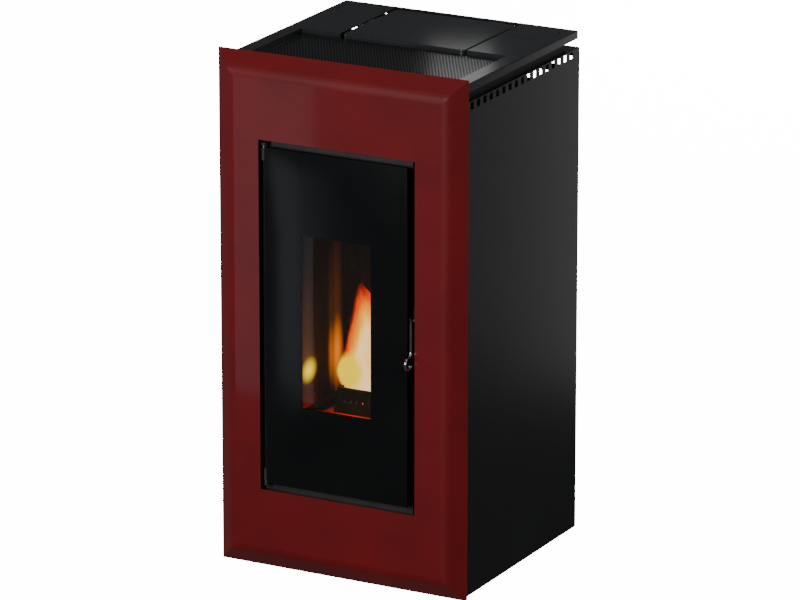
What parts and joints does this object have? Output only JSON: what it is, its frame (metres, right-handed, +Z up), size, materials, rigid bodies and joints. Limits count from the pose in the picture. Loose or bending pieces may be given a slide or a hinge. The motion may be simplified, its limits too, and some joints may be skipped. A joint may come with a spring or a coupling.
{
  "type": "pellet stove",
  "caption": "Upright wood-pellet stove with a bevelled red front, full-height black glass door, slotted black sides, top grille, hopper lid and rear flue outlet.",
  "frame": {"origin": "middle of the bounding box at floor level, under the levelling feet", "axes": "+Z up, +X to the right as seen from the door side, -Y towards the door, +Y to the flue"},
  "size_m": [0.49, 0.5303, 0.949],
  "materials": {
    "red_paint": "satin bordeaux paint",
    "black_paint": "satin black paint",
    "anthracite_paint": "fine-textured anthracite paint",
    "galvanised": "galvanised sheet",
    "stove_black": "matt heat-resistant black",
    "steel": "plain steel",
    "chrome": "polished chrome",
    "black_glass": "black screen-printed ceramic glass",
    "clear_glass": "clear ceramic glass",
    "cast_lining": "heat-stained casting",
    "cast_iron": "raw cast iron",
    "rope_seal": "glass-fibre rope",
    "rubber_seal": "sponge rubber",
    "bronze": "sintered bronze",
    "motor_grey": "grey housing",
    "fan_plastic": "mill finish",
    "ceramic": "heater sheath",
    "board": "circuit board",
    "black_plastic": "moulded black"
  },
  "bodies": {
    "cabinet": {"base_plate": "galvanised", "levelling_feet": "steel", "side_panel_left": "black_paint", "side_panel_right": "black_paint", "rear_panel": "galvanised", "rear_screws": "steel", "front_bulkhead": "galvanised", "front_panel": "red_paint", "panel_brackets": "galvanised", "top_cover": "anthracite_paint", "cover_brackets": "galvanised", "top_grille": "anthracite_paint", "mouth_plate": "stove_black", "firebox_shell": "stove_black", "lining_left": "cast_lining", "lining_right": "cast_lining", "lining_back": "cast_lining", "burn_pot_carrier": "stove_black", "smoke_box": "stove_black", "exchanger_tubes": "steel", "air_plenum": "galvanised", "smoke_duct": "stove_black", "hopper": "galvanised", "hopper_guard": "galvanised", "auger_tube": "steel", "auger_bush": "bronze", "pellet_chute": "steel", "auger_gearmotor": "motor_grey", "exhaust_housing": "stove_black", "exhaust_motor": "motor_grey", "flue_spigot": "stove_black", "convection_housing": "galvanised", "convection_motor": "motor_grey", "air_intake_pipe": "stove_black", "igniter": "ceramic", "board_bracket": "galvanised", "control_board": "board", "power_inlet": "black_plastic", "reset_thermostat": "black_plastic", "hinge_brackets": "stove_black", "hinge_pins": "steel", "latch_keeper": "steel", "lid_hinge_brackets": "galvanised", "lid_hinge_pins": "steel"},
    "door": {"door_frame": "stove_black", "door_glass": "black_glass", "inner_pane": "clear_glass", "pane_clips": "steel", "door_gasket": "rope_seal", "lever_pin": "steel"},
    "lever": {"door_lever": "chrome"},
    "lid": {"hopper_lid": "anthracite_paint", "lid_hinge_leaves": "steel", "lid_gasket": "rubber_seal"},
    "burn_pot": {"burn_pot": "cast_iron"},
    "ash_pan": {"ash_pan": "stove_black"},
    "auger": {"auger_screw": "steel"},
    "exhaust_fan": {"exhaust_impeller": "steel"},
    "room_fan": {"convection_rotor": "fan_plastic"},
    "switch": {"rocker_switch": "black_plastic"}
  },
  "joints": [
    {"name": "door_swing", "type": "hinge", "parent": "cabinet", "child": "door", "pos_m": [-0.145, -0.23485, 0.48], "axis": [0, 0, -1], "range_deg": [0, 90]},
    {"name": "lever_pull", "type": "hinge", "parent": "door", "child": "lever", "pos_m": [0.147, -0.22985, 0.512], "axis": [-1, 0, 0], "range_deg": [0, 30]},
    {"name": "lid_lift", "type": "hinge", "parent": "cabinet", "child": "lid", "pos_m": [0, 0.20815, 0.931], "axis": [-1, 0, 0], "range_deg": [0, 80]},
    {"name": "burn_pot_lift", "type": "slide", "parent": "cabinet", "child": "burn_pot", "axis": [0, 0, 1], "range_m": [0, 0.04]},
    {"name": "ash_pan_pull", "type": "slide", "parent": "cabinet", "child": "ash_pan", "axis": [0, -1, 0], "range_m": [0, 0.012]},
    {"name": "auger_turn", "type": "hinge", "parent": "cabinet", "child": "auger", "pos_m": [0, 0.16015, 0.33], "axis": [0, -0.5, 0.866], "continuous": true},
    {"name": "exhaust_fan_spin", "type": "hinge", "parent": "cabinet", "child": "exhaust_fan", "pos_m": [0.11, 0.10115, 0.165], "axis": [1, 0, 0], "continuous": true},
    {"name": "room_fan_spin", "type": "hinge", "parent": "cabinet", "child": "room_fan", "pos_m": [-0.02, 0.06815, 0.076], "axis": [1, 0, 0], "continuous": true},
    {"name": "switch_rock", "type": "hinge", "parent": "cabinet", "child": "switch", "pos_m": [-0.142, 0.22065, 0.12], "axis": [-1, 0, 0], "range_deg": [0, 10]}
  ]
}
